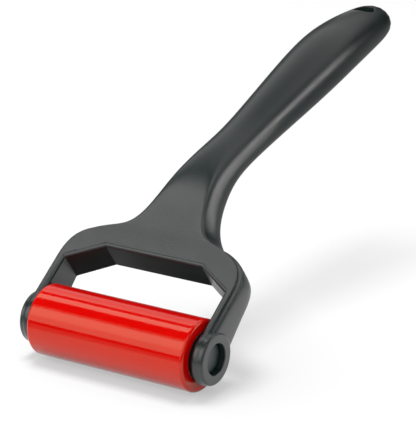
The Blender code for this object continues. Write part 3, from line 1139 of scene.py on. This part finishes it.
@dataclass
class Studio:
    """The white floor with its lamp-cast and painted shadow, the soft lamps and the camera."""

    azimuth: float = radians(32.909)
    elevation: float = radians(18.081)
    eye: Spot = (0.39681, -0.55949, 0.26898)
    focal: float = 184.69
    sensor_width: float = 36.0
    clip_start: float = 0.01
    floor_size: float = 12.0
    floor_cuts: int = 3
    floor_drop: float = 0.0002
    floor_roughness: float = 0.9
    floor_albedo: float = 0.12
    floor_mirrored: float = 1.05
    floor_far_mirrored: float = 0.22
    floor_seen_albedo: float = 0.08
    floor_seen_lift: float = 0.70
    mirror_middle: Point = (0.02, -0.06)
    mirror_fade: Point = (0.10, 0.15)
    # Painted shade in reflections: mirror_shade dims the floor's glow where ambient occlusion finds
    # the brayer near, and the next four fields take it away behind the roller under the fork's
    # window.
    mirror_shade: float = 0.6
    gap_shade_front: Point = (-0.086, -0.078)
    gap_shade_back: Point = (-0.043, -0.018)
    gap_shade_middle: float = -0.012
    gap_shade_side: Point = (0.036, 0.052)
    far_left: Point = (0.0, 0.10)
    far_back: Point = (-0.05, 0.05)
    far_back_loss: float = 0.6
    # The painted contact shadow that the eye sees on the floor: ambient occlusion darkens its glow.
    shade_samples: int = 16
    shade_reach: float = 0.06
    shade_depth: float = 0.42
    shade_lean: Point = (-0.45, -0.40)
    shadow_place: Spot = (-0.37, 0.0, 2.4)
    shadow_size: float = 1.0
    shadow_share: float = 3.4
    world_level: float = 0.03
    softboxes: tuple[Softbox, ...] = (
        Softbox("front_lower_softbox", 8, 27, 1.9),
        Softbox("front_upper_softbox", 27, 53.5, 2.8),
        Softbox("front_edge_softbox", 56.5, 59, 1.55),
        Softbox("top_softbox", 84, 100, 2.8, distance=0.15, length=0.31, middle=-0.105),
        Softbox("neck_softbox", 112, 121, 0.6, distance=0.167, length=0.28, middle=-0.12),
        Softbox("back_softbox", 113, 148, 0.95, length=2.4, middle=-0.25),
    )
    kickers: tuple[Kicker, ...] = (
        Kicker("right_softbox", 34, 11.5, 0.50, 0.24, 4.8),
        Kicker("neck_card", 57, 5, 0.028, 0.026, 2.2, 0.078, (0.011, -0.041, 0.051)),
        Kicker("edge_card", 26, 61, 0.035, 0.035, 2.0, 0.10, (0.011, -0.045, 0.052)),
        Kicker("back_sheet", 125, 14, 1.2, 0.5, 0.10),
        Kicker("hole_card", 123, 10, 0.022, 0.02, 0.4, 0.06, (0.0, 0.083, 0.097)),
        Kicker("front_card", -80, 6, 0.16, 0.12, 0.9, 0.35, (-0.02, -0.07, 0.03)),
        Kicker("fill_softbox", -45, 32, 1.1, 0.9, 1.5),
    )

    def floor(self) -> Piece:
        """The floor, a little below the ground so that it touches nothing.

        Returns:
            The floor.
        """
        clear_selection()
        bpy.ops.mesh.primitive_plane_add(size=self.floor_size, location=(0, 0, 0))
        floor = bpy.context.object
        floor.name = "studio_floor"
        bpy.ops.object.mode_set(mode="EDIT")
        bpy.ops.mesh.subdivide(number_cuts=self.floor_cuts)
        bpy.ops.transform.translate(value=(0, 0, -self.floor_drop))
        bpy.ops.object.mode_set(mode="OBJECT")
        floor.data.materials.append(self.floor_material())
        return floor

    def floor_material(self) -> bpy.types.Material:
        """A floor that is white to the eye, keeps its shadow and is mirrored by place.

        Its shadow is partly real, cast by the overhead lamp, and partly painted: ambient occlusion
        darkens its glow round the brayer's contact. Reflections see it bright round the roller,
        with painted shade behind the roller under the fork's window and near the brayer, and dim
        far to the left. The rest is dark to them, which keeps the window's walls dark.

        Returns:
            The material.
        """
        material = bpy.data.materials.new("white_floor")
        material.use_nodes = True
        nodes = material.node_tree.nodes
        wiring = Wiring(material.node_tree)
        maths, product, ramp, rest = wiring.maths, wiring.product, wiring.ramp, wiring.rest

        path = wiring.node("LightPath", {}).outputs
        seen = path["Is Camera Ray"]
        mirrored = maths("MAXIMUM", path["Is Glossy Ray"], path["Is Transmission Ray"])
        tone = wiring.mixed(
            maths("MAXIMUM", seen, mirrored),
            (self.floor_albedo,) * 3 + (1,), (self.floor_seen_albedo,) * 3 + (1,),
        )

        # Painted shadow: ambient occlusion, leaned to the left and front, darkens the floor's glow
        # to the eye round where the brayer stands.
        lean = wiring.node("CombineXYZ", dict(zip("XYZ", (*self.shade_lean, 1.0))))
        shade = wiring.node("AmbientOcclusion", {
            "Normal": lean.outputs["Vector"], "Distance": self.shade_reach,
        }, samples=self.shade_samples)
        hidden = rest(shade.outputs["AO"])
        seen_level = product(rest(product(hidden, self.shade_depth)), self.floor_seen_lift)

        place = wiring.node("TexCoord", {}).outputs["Object"]
        spot = wiring.node("SeparateXYZ", {"Vector": place}).outputs
        across, along = spot["X"], spot["Y"]
        squares = []
        for value, middle in zip((across, along), self.mirror_middle):
            offset = maths("SUBTRACT", value, middle)
            squares.append(product(offset, offset))
        away = ramp(maths("SQRT", maths("ADD", *squares)), self.mirror_fade)

        # Painted shade in reflections: the floor's glow is taken away behind the roller under the
        # fork's window, and ambient occlusion dims it near the brayer.
        behind = maths("SUBTRACT", ramp(along, self.gap_shade_front), ramp(along, self.gap_shade_back))
        off_middle = maths("ABSOLUTE", maths("SUBTRACT", across, self.gap_shade_middle))
        gap_shade = product(behind, rest(ramp(off_middle, self.gap_shade_side)))
        clear = rest(product(hidden, self.mirror_shade))
        near_level = product(rest(away), rest(gap_shade), clear, self.floor_mirrored)

        leftward = ramp(product(across, -1.0), self.far_left)
        ahead = rest(product(ramp(along, self.far_back), self.far_back_loss))
        far_level = product(leftward, away, ahead, self.floor_far_mirrored)

        mirror_level = maths("ADD", near_level, far_level)
        level = maths("ADD", product(seen, seen_level), product(mirrored, mirror_level))
        shader = nodes["Principled BSDF"]
        wiring.fill(shader, {
            "Base Color": tone, "Roughness": self.floor_roughness, "Specular IOR Level": 0.0,
        })
        glow = wiring.node("Emission", {"Strength": level})
        both = wiring.node("AddShader", {0: shader.outputs["BSDF"], 1: glow.outputs["Emission"]})
        wiring.fill(nodes["Material Output"], {"Surface": both.outputs["Shader"]})
        return material

    def lamp(
        self, name: str, size: Point, level: float, place: Vector, out: Vector, across: Vector,
    ) -> Piece:
        """A rectangular area lamp of an even brightness.

        Args:
            name: Its name.
            size: Its width and height.
            level: Its brightness, where 1 is that of a white sheet.
            place: Where its middle is.
            out: The direction from the object to the lamp.
            across: The direction of its width.

        Returns:
            The lamp.
        """
        data = bpy.data.lights.new(name, "AREA")
        data.shape = "RECTANGLE"
        data.size, data.size_y = size
        data.energy = level * pi * size[0] * size[1]
        lamp = bpy.data.objects.new(name, data)
        bpy.context.scene.collection.objects.link(lamp)
        turn = Matrix((across, out.cross(across), out)).transposed().to_4x4()
        lamp.matrix_world = Matrix.Translation(place) @ turn
        lamp.visible_camera = False
        return lamp

    def shadow_lamp(self, floor: Piece) -> Piece:
        """A lamp overhead that lights the floor alone, so that the brayer's shadow lies on it.

        Args:
            floor: The floor.

        Returns:
            The lamp.
        """
        place = Vector(self.shadow_place)
        out = place.normalized()
        across = Vector((0, 1, 0)).cross(out).normalized()
        area = self.shadow_size ** 2
        level = self.shadow_share * pi * place.length_squared / area
        lamp = self.lamp("shadow_softbox", (self.shadow_size,) * 2, level, place, out, across)
        only = bpy.data.collections.new("floor_only")
        only.objects.link(floor)
        lamp.light_linking.receiver_collection = only
        return lamp

    def strip(self, box: Softbox) -> Piece:
        """A long softbox that faces the axle line.

        Args:
            box: Its angles, size and level.

        Returns:
            The lamp.
        """
        angle = radians((box.low + box.high) / 2)
        spread = radians((box.high - box.low) / 2)
        size = (box.length, 2 * box.distance * tan(spread))
        out = Vector((0, -cos(angle), sin(angle)))
        place = AXLE_LINE + Vector((box.middle, 0, 0)) + box.distance * out
        return self.lamp(box.name, size, box.level, place, out, Vector((1, 0, 0)))

    def aimed(self, kicker: Kicker) -> Piece:
        """A softbox or a card that faces its target.

        Args:
            kicker: Its direction, size and level.

        Returns:
            The lamp.
        """
        turn, rise = radians(kicker.azimuth), radians(kicker.elevation)
        flat = cos(rise)
        out = Vector((cos(turn) * flat, sin(turn) * flat, sin(rise)))
        across = Vector((-sin(turn), cos(turn), 0))
        place = Vector(kicker.target) + kicker.distance * out
        size = (kicker.width, kicker.height)
        return self.lamp(kicker.name, size, kicker.level, place, out, across)

    def camera(self) -> None:
        """The camera at the photograph's view."""
        data = bpy.data.cameras.new("photo_camera")
        data.sensor_fit = "HORIZONTAL"
        data.sensor_width = self.sensor_width
        data.lens = self.focal
        data.clip_start = self.clip_start
        camera = bpy.data.objects.new("photo_camera", data)
        bpy.context.scene.collection.objects.link(camera)
        ahead, side = cos(self.azimuth), sin(self.azimuth)
        flat, rise = cos(self.elevation), sin(self.elevation)
        right = Vector((ahead, side, 0))
        back = Vector((side * flat, -ahead * flat, rise))
        turn = Matrix((right, back.cross(right), back)).transposed().to_4x4()
        camera.matrix_world = Matrix.Translation(AXLE_LINE + Vector(self.eye)) @ turn
        bpy.context.scene.camera = camera

    def world(self) -> None:
        """A dim even world that fills the shade."""
        world = bpy.data.worlds.new("dim_room")
        world.use_nodes = True
        backdrop = world.node_tree.nodes["Background"]
        backdrop.inputs["Color"].default_value = (1, 1, 1, 1)
        backdrop.inputs["Strength"].default_value = self.world_level
        bpy.context.scene.world = world

    def build(self) -> None:
        """Set up the floor, the lamps, the world and the camera."""
        self.camera()
        self.world()
        lamps = [
            self.shadow_lamp(self.floor()),
            *(self.strip(box) for box in self.softboxes),
            *(self.aimed(kicker) for kicker in self.kickers),
        ]
        bpy.context.scene.view_settings.view_transform = "Standard"
        log.info("studio: %d lamps", len(lamps))


# The whole scene


def main() -> None:
    """Build the studio and the brayer's pieces in order."""
    Studio().build()
    pieces = [ForkAndGrip().build(), *Roller().build(), *AxleSet().build()]
    log.info("brayer: %d pieces", len(pieces))


if __name__ == "__main__":
    main()
